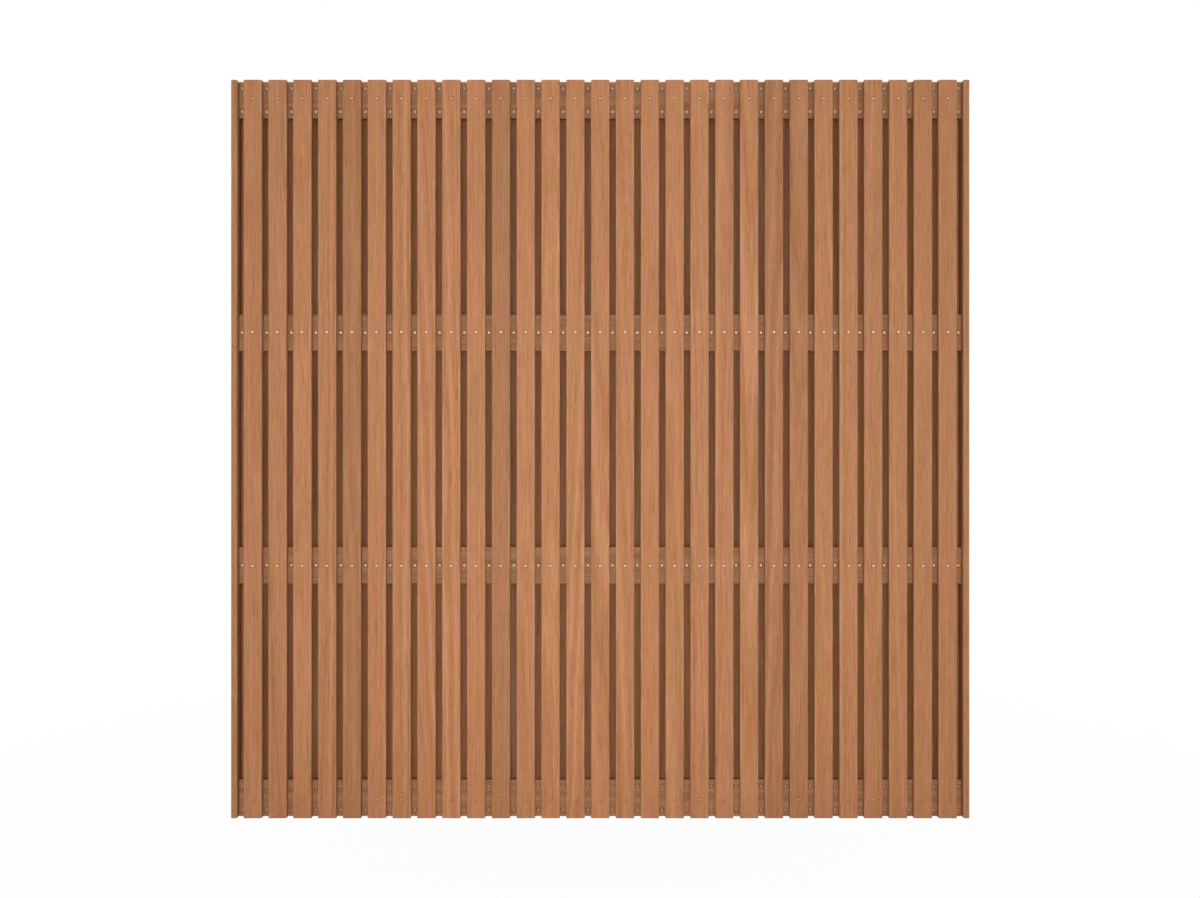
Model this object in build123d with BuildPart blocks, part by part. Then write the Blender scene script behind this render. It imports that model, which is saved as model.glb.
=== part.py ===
# Double-sided slatted fence panel of sawn hardwood.
# Upright slats are screwed to the front of level rails with even gaps. A second layer of slats on the
# back stands behind the gaps and closes them. A slat turned on edge covers the rail ends at each side.
# Millimetres. X runs along the panel, -Y is the front, +Z is up. The origin is the middle of the
# bottom edge, in the middle of the rails' thickness.
import math
import os

from build123d import *

os.makedirs("parts", exist_ok=True)

# upright slats; these widths and gaps add up to a panel 1800 wide
panel_height = 1800
slat_count = 29
slat_width = 45
slat_thickness = 15
slat_gap = 15.5
slat_ease = 2

# slats on edge at the two sides
edge_slat_thickness = 15

# level rails between the two layers of slats
rail_count = 4
rail_height = 90
rail_thickness = 15
rail_ease = 1.5

# screws: low heads with a sloping rim, set in from the long edges of a rail where they come in pairs
head_diameter = 8
head_height = 1.6
head_slope = 1.4
head_sides = 8
screw_inset = 16.5

# the panel across: gaps and slats in turn, then the slats on edge
slat_pitch = slat_width + slat_gap
rail_length = slat_count * slat_pitch + slat_gap
panel_width = rail_length + 2 * edge_slat_thickness
edge_slat_x = (panel_width - edge_slat_thickness) / 2

# the panel through: front slats, rails, back slats
rail_front = rail_thickness / 2
panel_front = rail_front + slat_thickness
slat_layer = rail_front + slat_thickness / 2

# each end of the back is closed by a slat ripped down to half a pitch
back_end_width = slat_pitch / 2
back_end_x = (rail_length - back_end_width) / 2

# rails at even heights, the outer two flush with the slat ends
rail_spacing = (panel_height - rail_height) / (rail_count - 1)

# heights of the screws in one column: a pair on each outer rail, a single one on each rail between
lower_pair = [screw_inset, rail_height - screw_inset]
upper_pair = [panel_height - height for height in lower_pair]
middle_singles = [rail_height / 2 + number * rail_spacing for number in range(1, rail_count - 1)]
screw_column = [(0, height) for height in lower_pair + middle_singles + upper_pair]


def save(piece, name):
    piece.part.label = name
    export_step(piece.part, f"parts/{name}.step")


# front slats, their long edges and ends eased
for number in range(slat_count):
    slat_x = (number - (slat_count - 1) / 2) * slat_pitch
    with BuildPart() as front_slat:
        with BuildSketch():
            with Locations((slat_x, -slat_layer)):
                Rectangle(slat_width, slat_thickness)
        extrude(amount=panel_height)
        chamfer(front_slat.edges(), slat_ease)
    save(front_slat, f"front_slat_{number + 1:02d}")

# back slats, all alike, one behind each gap between two front slats
with BuildPart() as back_slats:
    with BuildSketch():
        with Locations((0, slat_layer)):
            with GridLocations(slat_pitch, 0, slat_count - 1, 1):
                Rectangle(slat_width, slat_thickness)
    extrude(amount=panel_height)
    chamfer(back_slats.edges(), slat_ease)
save(back_slats, "back_slats")

# the narrow slats that close the first and last gap from behind
for side, name in ((-1, "left_back_end_slat"), (1, "right_back_end_slat")):
    with BuildPart() as back_end_slat:
        with BuildSketch():
            with Locations((side * back_end_x, slat_layer)):
                Rectangle(back_end_width, slat_thickness)
        extrude(amount=panel_height)
        chamfer(back_end_slat.edges(), slat_ease)
    save(back_end_slat, name)

# rails, long edges eased, ends sawn square
for number in range(rail_count):
    with BuildPart() as rail:
        with BuildSketch(Plane.XY.offset(number * rail_spacing)):
            Rectangle(rail_length, rail_thickness)
        extrude(amount=rail_height)
        chamfer(rail.edges().filter_by(Axis.X), rail_ease)
    save(rail, f"rail_{number + 1}")

# one screw head, its wide face on the sketch plane; the shanks are buried in the timber and left out
with BuildPart() as screw_head:
    with BuildSketch():
        RegularPolygon(head_diameter / 2, head_sides)
    extrude(amount=head_height, taper=math.degrees(math.atan(head_slope / head_height)))

# screws that hold the front slats: one where each slat crosses each rail
with BuildPart() as slat_screws:
    with Locations(Plane.XZ.offset(panel_front)):
        with Locations((0, panel_height / 2)):
            with GridLocations(slat_pitch, rail_spacing, slat_count, rail_count):
                add(screw_head.part)
save(slat_screws, "slat_screws")

# screws that hold the back slats, driven through the rails from the gaps between the front slats
with BuildPart() as rail_screws:
    with Locations(Plane.XZ.offset(rail_front)):
        with Locations(*screw_column):
            with GridLocations(slat_pitch, 0, slat_count + 1, 1):
                add(screw_head.part)
save(rail_screws, "rail_screws")

# slats on edge, screwed to the rail ends from outside with the heads sunk flush
for side, name in ((-1, "left_edge"), (1, "right_edge")):
    outer_face = Plane(
        origin=(side * panel_width / 2, 0, 0), x_dir=(0, -side, 0), z_dir=(-side, 0, 0)
    )
    with BuildPart() as edge_slat:
        with BuildSketch():
            with Locations((side * edge_slat_x, 0)):
                Rectangle(edge_slat_thickness, 2 * panel_front)
        extrude(amount=panel_height)
        chamfer(edge_slat.edges(), slat_ease)
        with Locations(outer_face):
            with Locations(*screw_column):
                add(screw_head.part, mode=Mode.SUBTRACT)
    save(edge_slat, f"{name}_slat")

    with BuildPart() as edge_screws:
        with Locations(outer_face):
            with Locations(*screw_column):
                add(screw_head.part)
    save(edge_screws, f"{name}_screws")
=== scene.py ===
import math

import bpy
import mathutils
import numpy as np
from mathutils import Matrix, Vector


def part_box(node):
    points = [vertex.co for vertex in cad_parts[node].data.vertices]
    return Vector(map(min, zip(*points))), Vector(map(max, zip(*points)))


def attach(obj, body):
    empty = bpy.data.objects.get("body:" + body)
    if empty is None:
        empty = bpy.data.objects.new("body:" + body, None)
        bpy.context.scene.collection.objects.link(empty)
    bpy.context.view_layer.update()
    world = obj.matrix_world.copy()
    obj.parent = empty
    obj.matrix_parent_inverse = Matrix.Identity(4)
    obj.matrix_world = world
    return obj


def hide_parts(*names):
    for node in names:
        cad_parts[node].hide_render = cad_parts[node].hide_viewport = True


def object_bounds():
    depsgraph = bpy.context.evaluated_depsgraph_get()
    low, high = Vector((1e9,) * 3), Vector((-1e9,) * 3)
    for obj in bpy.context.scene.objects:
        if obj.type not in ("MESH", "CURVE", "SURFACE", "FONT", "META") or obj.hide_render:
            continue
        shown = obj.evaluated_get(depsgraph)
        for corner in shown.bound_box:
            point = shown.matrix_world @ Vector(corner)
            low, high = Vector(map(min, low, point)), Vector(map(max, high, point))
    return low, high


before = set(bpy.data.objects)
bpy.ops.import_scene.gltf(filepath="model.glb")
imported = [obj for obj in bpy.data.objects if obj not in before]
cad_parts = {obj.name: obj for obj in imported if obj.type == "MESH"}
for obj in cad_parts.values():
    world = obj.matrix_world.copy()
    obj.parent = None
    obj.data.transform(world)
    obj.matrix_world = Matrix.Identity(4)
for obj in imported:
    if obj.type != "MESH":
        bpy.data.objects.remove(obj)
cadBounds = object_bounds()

# Slatted fence panel: boards with rounded edges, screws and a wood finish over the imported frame.
# Metres. -Y is the front, +Z is up, the origin is the middle of the bottom edge.
print("frame loaded:", len(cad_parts), "nodes")


class Wire:  # an output in a node tree that Python's own operators can work on
    def __init__(self, nodes, socket):
        self.nodes = nodes
        self.socket = socket

    # another output of the same node
    def sibling(self, output):
        return Wire(self.nodes, self.socket.node.outputs[output])

    def maths(self, operation, *values):
        return self.nodes.add("ShaderNodeMath", {"operation": operation}, values)

    def __add__(self, other):
        return self.maths("ADD", self, other)

    def __sub__(self, other):
        return self.maths("SUBTRACT", self, other)

    def __rsub__(self, other):
        return self.maths("SUBTRACT", other, self)

    def __mul__(self, other):
        return self.maths("MULTIPLY", self, other)

    __radd__ = __add__
    __rmul__ = __mul__


class Nodes:  # a node tree to which any node is added by one method
    def __init__(self, tree):
        self.tree = tree

    # the settings are set first, then each input socket gets its value or link
    def add(self, kind, settings=None, inputs=(), output=0):
        node = self.tree.nodes.new(kind)
        for name, value in (settings or {}).items():
            setattr(node, name, value)
        pairs = inputs.items() if isinstance(inputs, dict) else enumerate(inputs)
        for key, value in pairs:
            self.plug(node.inputs[key], value)
        return Wire(self, node.outputs[output])

    def plug(self, socket, value):
        if isinstance(value, Wire):
            self.tree.links.new(value.socket, socket)
        else:
            socket.default_value = value

    def mixColours(self, factor, first, second):
        return self.add("ShaderNodeMix", {"data_type": "RGBA"}, {0: factor, 6: first, 7: second}, output=2)

    def stretch(self, vector, scales):
        return self.add("ShaderNodeVectorMath", {"operation": "MULTIPLY"}, (vector, scales))

    def scale(self, vector, factor):
        return self.add("ShaderNodeVectorMath", {"operation": "SCALE"}, {0: vector, "Scale": factor})

    def length(self, vector):
        return self.add("ShaderNodeVectorMath", {"operation": "LENGTH"}, (vector,), output=1)

    # the three numbers of a vector
    def split(self, vector):
        first = self.add("ShaderNodeSeparateXYZ", None, (vector,))
        return first, first.sibling(1), first.sibling(2)

    def noise(self, vector, detail, roughness):
        inputs = {"Vector": vector, "Scale": 1.0, "Detail": detail, "Roughness": roughness}
        return self.add("ShaderNodeTexNoise", None, inputs)

    def attribute(self, name, output="Vector"):
        return self.add("ShaderNodeAttribute", {"attribute_name": name}, output=output)

    def bump(self, strength, depth, height):
        inputs = {"Strength": strength, "Distance": depth, "Height": height}
        return self.add("ShaderNodeBump", None, inputs)

    # 0 below low, 1 above high, even between
    def ramp(self, value, low, high):
        return self.add("ShaderNodeMapRange", {"clamp": True}, (value, low, high, 0.0, 1.0))


def newMaterial(name):
    material = bpy.data.materials.new(name)
    material.use_nodes = True
    nodes = Nodes(material.node_tree)
    return material, nodes, material.node_tree.nodes["Principled BSDF"].inputs


# Wood finish, worked out along each board's own fibres

wood = {
    "pink": (0.475, 0.183, 0.086, 1.0),
    "orange": (0.465, 0.202, 0.075, 1.0),
    "olive": (0.385, 0.19, 0.071, 1.0),
    "vein": (0.3, 0.106, 0.042, 1.0),     # darker red-brown lines along the grain
    "paleGrey": (0.5, 0.27, 0.15, 1.0),       # paler, greyer wood along the rounded edges and on greyed boards
    "sawn": (0.27, 0.185, 0.125, 1.0),    # end grain is darker and greyer
    "stainAndShade": (0.13, 0.065, 0.04, 1.0),    # crushed fibres around a screw head, and painted contact shade where the head meets the wood
    "stainAndShadeReach": (0.0038, 0.0065),       # from full to none, metres from the middle of the screw
    "stainAndShadeFray": 0.004,                   # how far the fibres pull the rim of the stain and painted shade about
    "bandWidth": 0.006,                   # growth bands, metres
    "bandDetail": 3.0,
    "bandWave": 0.012,                    # how far the bend moves the bands
    # noises drawn out along the fibres: width, length, detail and roughness
    "bend": (0.04, 0.5, 2.0, 0.5),
    "streaks": (0.0035, 0.09, 4.0, 0.6),
    "fibres": (0.0014, 0.034, 2.0, 0.6),
    "pores": (0.0004, 0.007, 1.0, 0.5),
    "pinkPatches": (0.006, 0.12, 4.0, 0.6),
    "olivePatches": (0.008, 0.25, 4.0, 0.6),
    "veins": (0.003, 0.09, 3.0, 0.65),
    # where on its noise each of these starts and where it is full
    "poreRange": (0.6, 0.72),
    "pinkRange": (0.4, 0.6),
    "oliveRange": (0.48, 0.66),
    "veinRange": (0.56, 0.7),
    "edgePalingRange": (0.3, 0.6),
    # how much each of these shows
    "bandStrength": 0.5,
    "streakStrength": 0.5,
    "fibreStrength": 0.6,
    "poreStrength": 0.3,
    "sawnBandStrength": 0.9,
    "oliveStrength": 0.75,
    "veinStrength": 0.62,
    "edgePalingStrength": 0.6,
    "sawnStrength": 0.7,
    "stainAndShadeStrength": 0.5,
    "contrast": (0.88, 1.33, 2.2),        # dark grain is redder than pale grain
    # roughness, and what the fibres, the sawn ends and the pores add to it
    "roughness": 0.55,
    "fibreRoughness": 0.25,
    "sawnRoughness": 0.2,
    "poreRoughness": 0.1,
    # how far fibres and streaks stand up and pores sink, as shares of the bump depth
    "fibreRelief": 0.6,
    "streakRelief": 0.5,
    "poreRelief": 0.8,
    "bumpStrength": 0.5,
    "bumpDepth": 0.0004,
    "specular": 0.25,
}


# Distance to the nearest screw = root(a^2 + b^2): a runs along the board to the nearest of evenly spaced
# screws, b across it to the nearer of two rows. Stain and painted contact shade = 1 within the reach,
# fading out, rougher by fibres.
def screwStainAndShade(nodes, fibres):
    along, across, away = nodes.split(nodes.attribute("screwRow"))
    spacing = nodes.attribute("screwSpacing", "Fac")
    a = along.maths("PINGPONG", along, spacing * 0.5)
    b = across.maths("ABSOLUTE", across) - away
    distance = a.maths("SQRT", a * a + b * b) + (fibres - 0.5) * wood["stainAndShadeFray"]
    return 1.0 - nodes.ramp(distance, *wood["stainAndShadeReach"])


# Colour = wood * tone * (1 + contrast * grain). The wood is three hues mixed by two broad noises, with
# darker veins. Grain = bands about the pith + long streaks + fine fibres - pores, each a noise that is
# narrow across the board and long along it.
def makeWood():
    material, nodes, shader = newMaterial("oiledHardwood")
    fibre = nodes.attribute("fibre")
    tone, warmth, greying = nodes.split(nodes.attribute("lot"))
    eased, sawnEnd, _ = nodes.split(nodes.attribute("edge"))

    def lengthwise(name):
        width, length, detail, roughness = wood[name]
        return nodes.noise(nodes.stretch(fibre, (1 / width, 1 / width, 1 / length)), detail, roughness)

    ringPlace = nodes.length(nodes.attribute("pith")) + (lengthwise("bend") - 0.5) * wood["bandWave"]
    bands = nodes.add("ShaderNodeTexNoise", {"noise_dimensions": "1D"}, {
        "W": ringPlace * (1 / wood["bandWidth"]), "Scale": 1.0, "Detail": wood["bandDetail"]
    })
    streaks = lengthwise("streaks")
    fibres = lengthwise("fibres")
    pores = nodes.ramp(lengthwise("pores"), *wood["poreRange"])
    pinkness = nodes.ramp(lengthwise("pinkPatches") + warmth, *wood["pinkRange"])
    oliveness = nodes.ramp(lengthwise("olivePatches") - warmth, *wood["oliveRange"])
    veins = nodes.ramp(lengthwise("veins"), *wood["veinRange"])
    # paler and greyer along the rounded edges, where the streaks allow
    edgePaling = eased * nodes.ramp(streaks, *wood["edgePalingRange"])
    # a dark ring round each screw: crushed fibres and painted contact shade where the head meets the wood
    stainAndShade = screwStainAndShade(nodes, fibres)
    grain = (
        (bands - 0.5) * wood["bandStrength"]
        + (streaks - 0.5) * wood["streakStrength"]
        + (fibres - 0.5) * wood["fibreStrength"]
        - pores * wood["poreStrength"]
        + sawnEnd * (bands - 0.5) * wood["sawnBandStrength"]
    )

    colour = nodes.mixColours(pinkness, wood["orange"], wood["pink"])
    colour = nodes.mixColours(oliveness * wood["oliveStrength"], colour, wood["olive"])
    colour = nodes.mixColours(veins * wood["veinStrength"], colour, wood["vein"])
    colour = nodes.mixColours(greying + edgePaling * wood["edgePalingStrength"], colour, wood["paleGrey"])
    colour = nodes.mixColours(sawnEnd * wood["sawnStrength"], colour, wood["sawn"])
    colour = nodes.mixColours(stainAndShade * wood["stainAndShadeStrength"], colour, wood["stainAndShade"])
    colour = nodes.scale(colour, 1.0 + tone)
    colour = nodes.add("ShaderNodeVectorMath", {"operation": "MULTIPLY_ADD"}, (
        colour, nodes.scale(wood["contrast"], grain), colour
    ))
    roughness = (
        wood["roughness"]
        + (fibres - 0.5) * wood["fibreRoughness"]
        + sawnEnd * wood["sawnRoughness"]
        + pores * wood["poreRoughness"]
    )
    height = fibres * wood["fibreRelief"] + streaks * wood["streakRelief"] - pores * wood["poreRelief"]
    nodes.plug(shader["Base Color"], colour)
    nodes.plug(shader["Roughness"], roughness)
    nodes.plug(shader["Normal"], nodes.bump(wood["bumpStrength"], wood["bumpDepth"], height))
    nodes.plug(shader["Specular IOR Level"], wood["specular"])
    return material


steel = {
    "colour": (0.42, 0.288, 0.193, 1.0),
    "dull": (0.38, 0.26, 0.175, 1.0),
    "paintedShade": (0.06, 0.045, 0.035, 1.0),    # painted shade: darkens the driver's recess and the rim where a head sits in the wood
    "paintedShadeCover": (0.5, 0.8),              # over bright steel and over dull steel
    "mottleSize": 0.0012,                 # metres
    "mottleDetail": 3.0,
    "mottleMix": 0.6,
    "mottleRange": (0.35, 0.65),
    # roughness, and what mottle and the painted shade add to it
    "roughness": 0.09,
    "mottleRoughness": 0.05,
    "paintedShadeRoughness": 0.3,
    "bumpStrength": 0.04,
    "bumpDepth": 0.0001,
}


# Steel mottled between bright and dull by a fine noise, with the roughness following it, and painted shade
# where the pieces say so: dark in the driver's recess and round the rim.
def makeSteel():
    material, nodes, shader = newMaterial("screwSteel")
    place = nodes.add("ShaderNodeTexCoord", output="Object")
    fineness = 1 / steel["mottleSize"]
    fine = nodes.stretch(place, (fineness, fineness, fineness))
    mottle = nodes.ramp(nodes.noise(fine, steel["mottleDetail"], steel["mottleMix"]), *steel["mottleRange"])
    # painted shade: darkens the steel in the driver's recess and round the rim where the head meets the
    # wood
    paintedShade = nodes.attribute("paintedShade", "Fac")
    thin, thick = steel["paintedShadeCover"]
    colour = nodes.mixColours(mottle, steel["colour"], steel["dull"])
    colour = nodes.mixColours(paintedShade * (thin + mottle * (thick - thin)), colour, steel["paintedShade"])
    roughness = steel["roughness"] + mottle * steel["mottleRoughness"] + paintedShade * steel["paintedShadeRoughness"]
    nodes.plug(shader["Base Color"], colour)
    nodes.plug(shader["Roughness"], roughness)
    nodes.plug(shader["Metallic"], 1.0)
    nodes.plug(shader["Normal"], nodes.bump(steel["bumpStrength"], steel["bumpDepth"], mottle))
    return material


woodFinish = makeWood()
steelFinish = makeSteel()
print("finishes made")


def newPiece(name, points, faces, material, nodeName):
    mesh = bpy.data.meshes.new(name)
    mesh.from_pydata(points, [], faces)
    mesh.polygons.foreach_set("use_smooth", np.ones(len(mesh.polygons), dtype=bool))
    mesh.materials.append(material)
    mesh.update()
    piece = bpy.data.objects.new(name, mesh)
    bpy.context.collection.objects.link(piece)
    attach(piece, "root")
    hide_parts(nodeName)
    return piece


# each point of a piece gets a number, or three, that its finish reads
def setAttribute(piece, name, values):
    kind, field = ("FLOAT_VECTOR", "vector") if values.ndim == 2 else ("FLOAT", "value")
    piece.data.attributes.new(name, kind, "POINT").data.foreach_set(field, values.reshape(-1))


# Faces of a closed tube whose points are stored ring after ring: quads between neighbouring rings, and a
# flat cap over the first ring and over the last one.
def tubeFaces(ringCount, ringSize):
    ring = np.arange(ringCount - 1)[:, None] * ringSize
    here = np.arange(ringSize)[None, :]
    after = (here + 1) % ringSize
    quads = np.stack((ring + here, ring + after, ring + ringSize + after, ring + ringSize + here), axis=-1)
    caps = np.stack((here[0, ::-1], here[0] + (ringCount - 1) * ringSize))
    return quads.reshape(-1, 4), caps


# Boards

board = {
    "edgeRadius": 0.0025,
    "endRadius": 0.0018,
    "arcSteps": 4,
    "shoulder": 0.0005,         # flat strip beside a rounding, so that the wide faces shade flat
    "sideClearance": 0.0002,    # the outer faces of the slats on edge stay inside the flush screws
    "toneSpread": 0.015,
    "warmthSpread": 0.006,
    "backWarmthSpread": 0.04,   # the boards behind are picked less evenly
    # where in its log a board is cut: along the fibres, and how far the pith lies across and behind it
    "logPlace": (2, 30),
    "pithAcross": 0.05,
    "pithBehind": (0.03, 0.12),
    "askew": 0.02,
}

# each kind of board: tone, warmth, greying, the painted shade that its narrow faces add to the tone (darker
# on the slats' sides and on the rails' top and underside, lighter on the front and back of the boards on
# edge), and the first seed
boardKinds = {
    "front": (0.0, 0.0, 0.0, -0.25, 100),
    "darkerFront": (-0.14, 0.0, 0.0, -0.25, 100),
    # painted light: the boards behind the front slats, and the end ones most, get a lighter tone than the
    # front slats to brighten them in their shade
    "back": (0.15, -0.07, 0.1, -0.2, 200),
    "backEnd": (0.32, -0.08, 0.1, -0.2, 300),
    "onEdge": (-0.14, -0.02, 0.1, 0.07, 310),
    "rail": (0.24, -0.12, 0.35, -0.2, 320),
}
darkerFrontSlats = (4, 10, 21, 22)  # these stand out darker, counted from 0 at the left

# how a board lies: unit vectors across its width, through its thickness and along its fibres
upright = np.array([(1, 0, 0), (0, 1, 0), (0, 0, 1)], dtype=float)
onEdge = np.array([(0, 1, 0), (-1, 0, 0), (0, 0, 1)], dtype=float)
level = np.array([(0, 0, 1), (0, -1, 0), (1, 0, 0)], dtype=float)

noScrews = (0.0, 1.0, 1.0)  # rows so far off that their stain and painted shade reach no board


# Profile(s) = a rectangle's corner centre + radius * (cos a, sin a) over each quarter turn, with one
# more point a shoulder's width before and after each arc. Also gives the outward direction at each
# point, and 1 on the arcs and 0 at the shoulders.
def boardProfile(width, thickness):
    radius = board["edgeRadius"]
    quarter = math.pi / 2
    starts = np.arange(4)[:, None] * quarter
    angles = starts + np.linspace(0, quarter, board["arcSteps"] + 1)[None, :]
    corners = np.array([(1, 1), (-1, 1), (-1, -1), (1, -1)])[:, None, :]
    corners = corners * (width / 2 - radius, thickness / 2 - radius)
    outward = np.stack((np.cos(angles), np.sin(angles)), axis=-1)
    tangent = np.stack((-np.sin(angles), np.cos(angles)), axis=-1)
    arcs = corners + radius * outward
    before = arcs[:, :1] - board["shoulder"] * tangent[:, :1]
    after = arcs[:, -1:] + board["shoulder"] * tangent[:, -1:]
    points = np.concatenate((before, arcs, after), axis=1).reshape(-1, 2)
    outward = np.concatenate((outward[:, :1], outward, outward[:, -1:]), axis=1).reshape(-1, 2)
    isArc = np.ones(board["arcSteps"] + 3)
    isArc[[0, -1]] = 0
    return points, outward, np.tile(isArc, 4)


# Board(s, t) = profile(s) - inset(t) * outward(s) at height(t): near each end the inset follows a
# quarter circle, inset = r (1 - sin a) at a depth of r (1 - cos a), and the caps are flat.
# screws = where the first one stands along the board, their spacing and how far a row is from the middle
def makeBoard(name, nodeName, centre, size, lie, kind, number, screws=noScrews):
    width, thickness, length = np.abs(lie) @ size
    profile, outward, isArc = boardProfile(width, thickness)
    radius = board["endRadius"]
    angles = np.linspace(0, math.pi / 2, board["arcSteps"] + 1)
    inset = np.concatenate(([radius + board["shoulder"]], radius * (1 - np.sin(angles)), [0]))
    depth = np.concatenate(([0], radius * (1 - np.cos(angles)), [radius + board["shoulder"]]))
    atEnd = np.concatenate(([1], np.linspace(1, 0, len(angles)), [0]))
    inset = np.concatenate((inset, inset[::-1]))
    height = np.concatenate((depth, length - depth[::-1])) - length / 2
    atEnd = np.concatenate((atEnd, atEnd[::-1]))

    across = profile[None, :, :] - inset[:, None, None] * outward[None, :, :]
    along = np.broadcast_to(height[:, None, None], across.shape[:2] + (1,))
    local = np.concatenate((across, along), axis=-1).reshape(-1, 3)
    ringCount, ringSize = len(height), len(profile)
    quads, caps = tubeFaces(ringCount, ringSize)
    faces = quads.tolist() + caps.tolist()
    piece = newPiece(name, centre + local @ lie, faces, woodFinish, nodeName)

    # each board comes from its own place in a log: shifted fibres and a pith beside it, a little askew
    tone, warmth, greying, narrowFaceShade, firstSeed = boardKinds[kind]
    draw = np.random.default_rng(firstSeed + number)
    fibre = local * draw.choice((-1, 1), 3) + draw.uniform(*board["logPlace"], 3)
    pithAway = (draw.uniform(-board["pithAcross"], board["pithAcross"]), draw.uniform(*board["pithBehind"]))
    askew = draw.uniform(-board["askew"], board["askew"], 2)
    pith = np.zeros_like(local)
    pith[:, :2] = local[:, :2] - pithAway + local[:, 2:] * askew

    # painted shade on the narrow faces: 1 on them, 0 on the wide faces and at the ends
    narrow = (outward[None, :, 0] ** 2 * (1 - atEnd[:, None])).reshape(-1)
    warmthSpread = board["backWarmthSpread" if kind == "back" else "warmthSpread"]
    lot = np.zeros_like(local) + (tone, warmth, greying)
    lot[:, 0] += draw.normal(0, board["toneSpread"]) + narrowFaceShade * narrow
    lot[:, 1] += draw.normal(0, warmthSpread)
    edge = np.zeros_like(local)
    edge[:, 0] = np.tile(isArc, ringCount)
    edge[:, 1] = np.repeat(atEnd, ringSize)
    first, spacing, away = screws
    screwRow = np.zeros_like(local)
    screwRow[:, 0] = local[:, 2] - first
    screwRow[:, 1] = local[:, 0]
    screwRow[:, 2] = away
    setAttribute(piece, "fibre", fibre)
    setAttribute(piece, "pith", pith)
    setAttribute(piece, "lot", lot)
    setAttribute(piece, "edge", edge)
    setAttribute(piece, "screwRow", screwRow)
    setAttribute(piece, "screwSpacing", np.full(len(local), spacing))


def boxOf(nodeName):
    low, high = (np.array(corner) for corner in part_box(nodeName))
    return (low + high) / 2, high - low


screw = {
    "radius": 0.004,
    "sides": 16,
    "recessRadius": 0.0015,
    "recessLobe": 0.14,         # how far the recess swells at each of its points
    "recessPoints": 6,
    "recessDepth": 0.0009,
    "recessDeepest": 0.9,       # share of the head's height that the recess may take
    "recessDraft": 0.9,         # the floor of the recess is a little smaller than its mouth
    "sharpFrom": 50,            # degrees
}

# where everything stands, read from the boxes
frontSlats = sorted(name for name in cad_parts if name.startswith("front_slat_"))
rails = sorted(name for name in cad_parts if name.startswith("rail_") and name != "rail_screws")
frontCentres = [boxOf(nodeName)[0] for nodeName in frontSlats]
slatSize = boxOf(frontSlats[0])[1]
slatFront = frontCentres[0][1] - slatSize[1] / 2
railFront = boxOf(rails[0])[0][1] - boxOf(rails[0])[1][1] / 2
railHeights = [boxOf(nodeName)[0][2] for nodeName in rails]
railSpacing = railHeights[1] - railHeights[0]
pitch = frontCentres[1][0] - frontCentres[0][0]
gapCentres = [centre[0] - pitch / 2 for centre in frontCentres] + [frontCentres[-1][0] + pitch / 2]
# the pairs on the outer rails: how far each stands from the rail's middle, to a tenth of a millimetre
pairReach = round(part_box("rail_screws")[1][2] - screw["radius"] - railHeights[-1], 4)

for number, nodeName in enumerate(frontSlats):
    centre, size = boxOf(nodeName)
    kind = "darkerFront" if number in darkerFrontSlats else "front"
    screws = (railHeights[0] - centre[2], railSpacing, 0.0)
    makeBoard(f"planed_{nodeName}", nodeName, centre, size, upright, kind, number, screws)
print("front slats made:", len(frontSlats))

# the back slats stand midway between neighbouring front slats
backY = boxOf("back_slats")[0][1]
for number, (left, right) in enumerate(zip(frontCentres, frontCentres[1:])):
    centre = (left + right) / 2
    centre[1] = backY
    name = f"planed_back_slat_{number + 1:02d}"
    makeBoard(name, "back_slats", centre, slatSize, upright, "back", number)
for number, nodeName in enumerate(("left_back_end_slat", "right_back_end_slat")):
    centre, size = boxOf(nodeName)
    makeBoard(f"planed_{nodeName}", nodeName, centre, size, upright, "backEnd", number)
print("back slats made:", len(frontCentres) + 1)

for number, (nodeName, side) in enumerate((("left_edge_slat", -1), ("right_edge_slat", 1))):
    centre, size = boxOf(nodeName)
    centre[0] -= side * board["sideClearance"] / 2
    size[0] -= board["sideClearance"]
    makeBoard(f"planed_{nodeName}", nodeName, centre, size, onEdge, "onEdge", number)
for number, nodeName in enumerate(rails):
    centre, size = boxOf(nodeName)
    away = pairReach if number in (0, len(rails) - 1) else 0.0
    screws = (gapCentres[0] - centre[0], pitch, away)
    makeBoard(f"planed_{nodeName}", nodeName, centre, size, level, "rail", number, screws)
print("edge slats and rails made")


# Screw heads: rows of radius, height and painted shade from the underside to the recess; the painted shade
# darkens the rim where the head meets the wood, and the recess. Radius and height are shares of the head's
# own.

# the third number of a row is painted shade: the rim where a domed head meets the wood, and the sunk rim of
# the flush heads
domedHead = ((1.0, 0.0, 0.6), (0.98, 0.35, 0.0), (0.9, 0.78, 0.0), (0.78, 0.99, 0.0), (0.72, 1.0, 0.0))
flushHead = ((1.0, 0.0, 1.0), (0.99, 0.9, 1.0), (0.93, 1.0, 0.9), (0.9, 1.0, 0.0))


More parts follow.
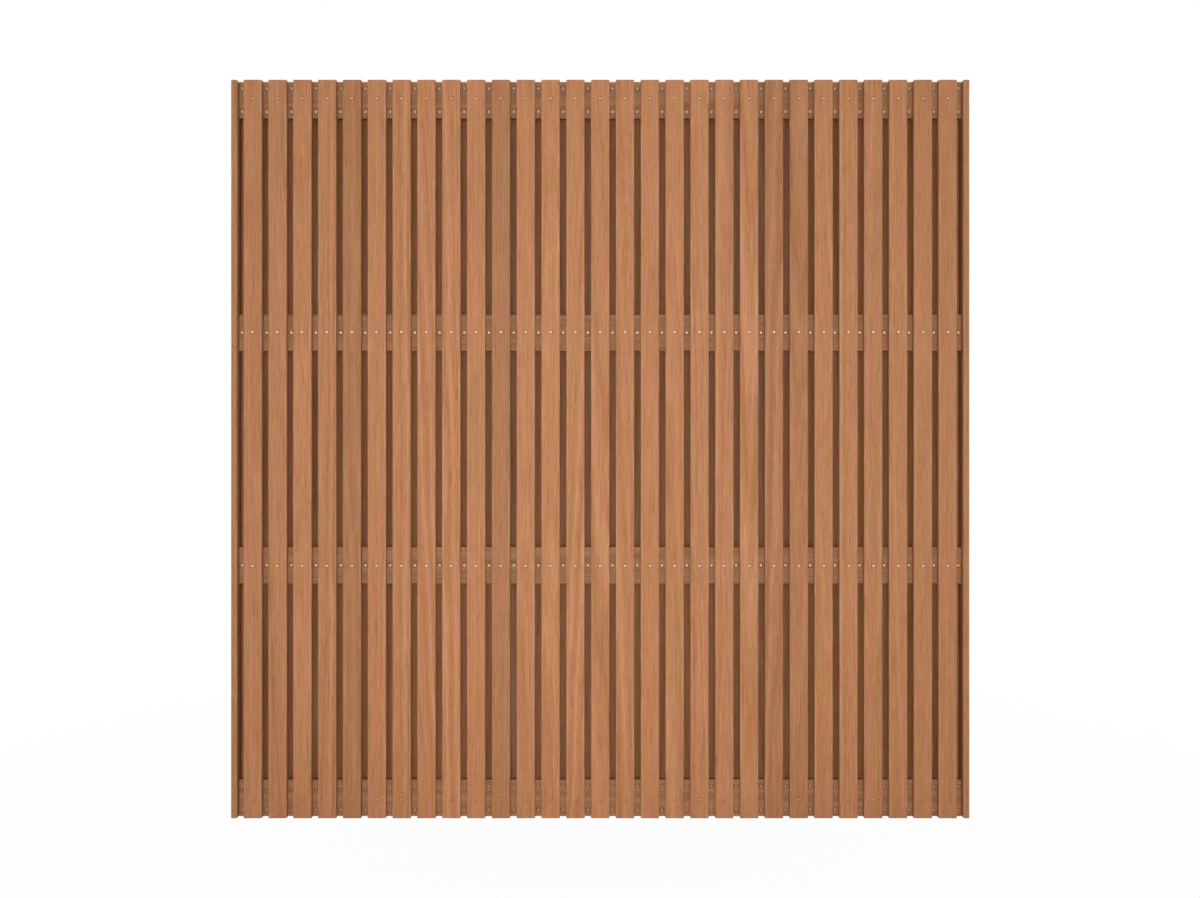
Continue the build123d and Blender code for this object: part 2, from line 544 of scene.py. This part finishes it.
# Head(a, row) = radius(row) * (cos a, sin a) at height(row). The last two rows are the driver's recess:
# their radius swells by a cosine with one wave for each of its points, and the last goes down into it.
def makeScrews(name, nodeName, places, facing, rows, height):
    angles = np.arange(screw["sides"]) * (2 * math.pi / screw["sides"])
    mouth = screw["recessRadius"] * (1 + screw["recessLobe"] * np.cos(screw["recessPoints"] * angles))
    shares = np.array(rows)
    rims = shares[:, :1] * screw["radius"] * np.ones_like(angles)
    radii = np.concatenate((rims, [mouth, mouth * screw["recessDraft"]]))
    recessFloor = height - min(screw["recessDepth"], height * screw["recessDeepest"])
    levels = np.concatenate((shares[:, 1] * height, (height, recessFloor)))
    # painted shade for each row: the rows' own, none at the recess mouth and full on the recess floor
    paintedShade = np.concatenate((shares[:, 2], (0.0, 1.0)))
    levels = np.broadcast_to(levels[:, None], radii.shape)
    local = np.stack((radii * np.cos(angles), radii * np.sin(angles), levels), axis=-1).reshape(-1, 3)

    outward = np.array(facing, dtype=float)
    sideways = np.cross((0, 0, 1), outward)
    turned = local @ np.array([sideways, (0, 0, 1), outward])
    points = (np.array(places)[:, None, :] + turned[None, :, :]).reshape(-1, 3)
    ringCount, ringSize = radii.shape
    starts = np.arange(0, len(points), len(local))[:, None, None]
    quads, caps = (starts + faces for faces in tubeFaces(ringCount, ringSize))
    faces = quads.reshape(-1, 4).tolist() + caps.reshape(-1, ringSize).tolist()
    piece = newPiece(name, points, faces, steelFinish, nodeName)
    piece.data.set_sharp_from_angle(angle=math.radians(screw["sharpFrom"]))
    setAttribute(piece, "paintedShade", np.tile(np.repeat(paintedShade, ringSize), len(places)))


column = [railHeights[0] - pairReach, railHeights[0] + pairReach]
column += railHeights[1:-1]
column += [railHeights[-1] - pairReach, railHeights[-1] + pairReach]
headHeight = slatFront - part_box("slat_screws")[0][1]

slatPlaces = [(centre[0], slatFront, height) for height in railHeights for centre in frontCentres]
railPlaces = [(x, railFront, height) for height in column for x in gapCentres]
makeScrews("slat_screw_heads", "slat_screws", slatPlaces, (0, -1, 0), domedHead, headHeight)
makeScrews("rail_screw_heads", "rail_screws", railPlaces, (0, -1, 0), domedHead, headHeight)
for side, nodeName in ((-1, "left_edge_screws"), (1, "right_edge_screws")):
    face = side * (np.abs(np.array(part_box(nodeName))[:, 0]).max() - board["sideClearance"])
    places = [(face, 0.0, height) for height in column]
    makeScrews(f"{nodeName}_heads", nodeName, places, (side, 0, 0), flushHead, board["sideClearance"])
print("screws made:", len(slatPlaces) + len(railPlaces) + 2 * len(column))


# Studio

studio = {
    "cameraAway": 2.635,      # from the face of the front slats
    "sensorWidth": 36.0,      # millimetres, like the lens
    "lens": 32.452,
    "shift": -0.00018,        # the panel stands a touch right of the middle
    "worldLevel": 0.6,
    # size, place, the height on the panel's middle line that the lamp looks at, power and spread
    "lamps": {
        "front": ((4.4, 2.7), (0.0, -3.6, 1.49), 1.25, 14.0, 180.0),
        "low": ((1.3, 0.2), (0.0, -1.0, 0.12), 0.3, 1.7, 180.0),
        "frontLeft": ((1.2, 2.7), (-3.4, -3.2, 1.4), 1.25, 3.9, 32.0),
        "frontRight": ((1.2, 2.7), (3.4, -3.2, 1.4), 1.25, 3.9, 32.0),
        "backLeft": ((1.2, 2.7), (-3.4, 3.2, 1.4), 1.25, 3.6, 36.0),
        "backRight": ((1.2, 2.7), (3.4, 3.2, 1.4), 1.25, 3.6, 36.0),
        # a wide card that only shows as a glint on what mirrors it
        "card": ((4.4, 2.8), (0.0, -3.61, 1.44), 1.44, 49.0, 180.0),
    },
    "floorSize": 12.0,
    "floorColour": (0.8, 0.8, 0.8, 1.0),
    "floorRoughness": 0.9,
    "glow": (0.96, 0.995),    # share of the floor that shows as plain white: under the panel and far away
    "glowReach": (0.4, 2.2),
}
white = (1.0, 1.0, 1.0, 1.0)


# 1 for rays that show a background: those of the camera, and those mirrored or passed on by a piece
def backgroundRays(nodes):
    camera = nodes.add("ShaderNodeLightPath", output="Is Camera Ray")
    mirrored = camera.maths("MAXIMUM", camera, camera.sibling("Is Glossy Ray"))
    return camera.maths("MAXIMUM", mirrored, camera.sibling("Is Transmission Ray"))


def makeWorld():
    world = bpy.data.worlds.new("studio")
    bpy.context.scene.world = world
    world.use_nodes = True
    nodes = Nodes(world.node_tree)
    background = world.node_tree.nodes["Background"].inputs
    ambient = studio["worldLevel"]
    nodes.plug(background["Color"], white)
    nodes.plug(background["Strength"], ambient + backgroundRays(nodes) * (1 - ambient))


def makeLamp(name, size, place, aim, power, spread):
    lamp = bpy.data.lights.new(name, "AREA")
    lamp.shape = "RECTANGLE"
    lamp.size, lamp.size_y = size
    lamp.energy = power
    lamp.spread = math.radians(spread)
    lampObject = bpy.data.objects.new(name, lamp)
    lampObject.location = place
    away = mathutils.Vector((0.0, 0.0, aim)) - lampObject.location
    lampObject.rotation_euler = away.to_track_quat("-Z", "Y").to_euler()
    lampObject.visible_camera = False
    lampObject.visible_diffuse = name != "card"
    bpy.context.collection.objects.link(lampObject)


def makeFloor():
    half = studio["floorSize"] / 2
    corners = [(-half, -half, 0), (half, -half, 0), (half, half, 0), (-half, half, 0)]
    mesh = bpy.data.meshes.new("floor")
    mesh.from_pydata(corners, [], [(0, 1, 2, 3)])
    material, nodes, shader = newMaterial("paleFloor")
    shader["Base Color"].default_value = studio["floorColour"]
    shader["Roughness"].default_value = studio["floorRoughness"]
    plain = Wire(nodes, material.node_tree.nodes["Principled BSDF"].outputs[0])
    glow = nodes.add("ShaderNodeEmission", None, {"Color": white, "Strength": 1.0})
    away = nodes.length(nodes.add("ShaderNodeTexCoord", output="Object"))
    near, far = studio["glow"]
    share = near + nodes.ramp(away, *studio["glowReach"]) * (far - near)
    mixed = nodes.add("ShaderNodeMixShader", None, (backgroundRays(nodes) * share, plain, glow))
    nodes.plug(material.node_tree.nodes["Material Output"].inputs["Surface"], mixed)
    mesh.materials.append(material)
    floor = bpy.data.objects.new("floor", mesh)
    bpy.context.collection.objects.link(floor)


def makeCamera():
    camera = bpy.data.objects.new("camera", bpy.data.cameras.new("camera"))
    camera.data.sensor_width = studio["sensorWidth"]
    camera.data.lens = studio["lens"]
    camera.data.shift_x = studio["shift"]
    camera.location = (0.0, slatFront - studio["cameraAway"], (cadBounds[0][2] + cadBounds[1][2]) / 2)
    camera.rotation_euler = (math.pi / 2, 0, 0)
    bpy.context.collection.objects.link(camera)
    bpy.context.scene.camera = camera


makeWorld()
for name, lamp in studio["lamps"].items():
    makeLamp(name, *lamp)
makeFloor()
makeCamera()
bpy.context.scene.view_settings.view_transform = "Standard"
print("studio made")
